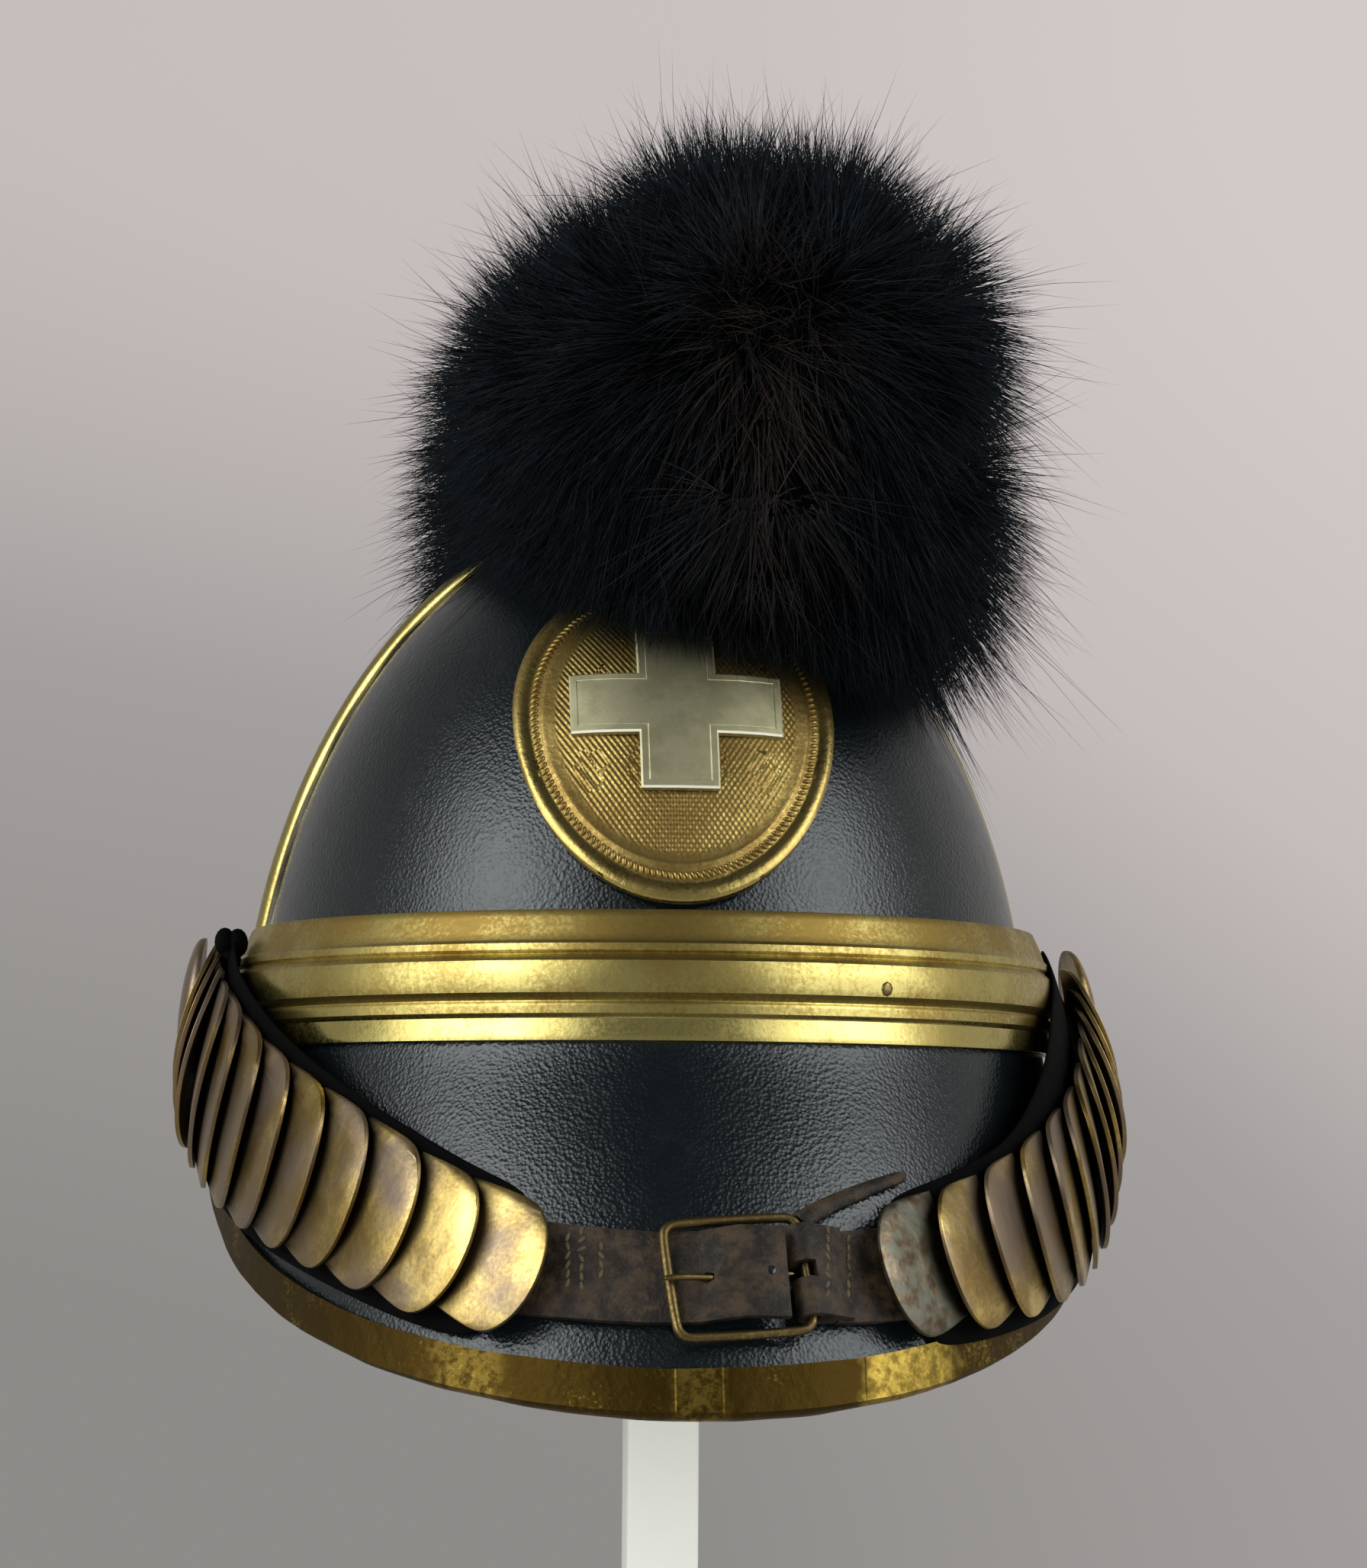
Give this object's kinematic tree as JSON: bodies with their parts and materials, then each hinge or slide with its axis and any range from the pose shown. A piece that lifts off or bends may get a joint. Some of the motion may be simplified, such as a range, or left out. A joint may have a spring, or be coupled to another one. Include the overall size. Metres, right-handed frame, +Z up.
{
  "type": "dragoon helmet on a display stand",
  "caption": "Tall black leather dragoon helmet with fur crest, brass front plate and band, deep bound peak and brass-scaled chin chain, set on a plain white stand.",
  "frame": {"origin": "middle of the stand base's underside, on the table", "axes": "+Z up, the helmet's front faces -Y, +X to the right of someone looking at the front"},
  "size_m": [0.2033, 0.2798, 0.3634],
  "materials": {
    "skull_leather": "black grained leather with a soft blue sheen",
    "strap_leather": "brown-black cracked leather",
    "brass": "polished brass with brown patina",
    "scale_brass": "dull tarnished brass",
    "nickel_silver": "greenish grey nickel silver",
    "fur": "long black bear fur",
    "stand_paint": "white satin"
  },
  "bodies": {
    "root": {"boss_left": "scale_brass", "boss_right": "scale_brass", "buckle_frame": "brass", "buckle_prong": "brass", "chin_strap_left": "strap_leather", "chin_strap_right": "strap_leather", "front_band": "brass", "front_peak": "skull_leather", "front_plate": "brass", "fur_crest": "fur", "peak_binding": "brass", "plate_cross": "nickel_silver", "scale_left_01": "scale_brass", "scale_left_02": "scale_brass", "scale_left_03": "scale_brass", "scale_left_04": "scale_brass", "scale_left_05": "scale_brass", "scale_left_06": "scale_brass", "scale_left_07": "scale_brass", "scale_left_08": "scale_brass", "scale_left_09": "scale_brass", "scale_left_10": "scale_brass", "scale_left_11": "scale_brass", "scale_left_12": "scale_brass", "scale_right_01": "scale_brass", "scale_right_02": "scale_brass", "scale_right_03": "scale_brass", "scale_right_04": "scale_brass", "scale_right_05": "scale_brass", "scale_right_06": "scale_brass", "scale_right_07": "scale_brass", "scale_right_08": "scale_brass", "scale_right_09": "scale_brass", "scale_right_10": "scale_brass", "scale_right_11": "scale_brass", "scale_right_12": "scale_brass", "side_brace_left": "brass", "side_brace_right": "brass", "skull": "skull_leather", "stand_base": "stand_paint", "stand_head": "stand_paint", "stand_post": "stand_paint"}
  },
  "joints": []
}
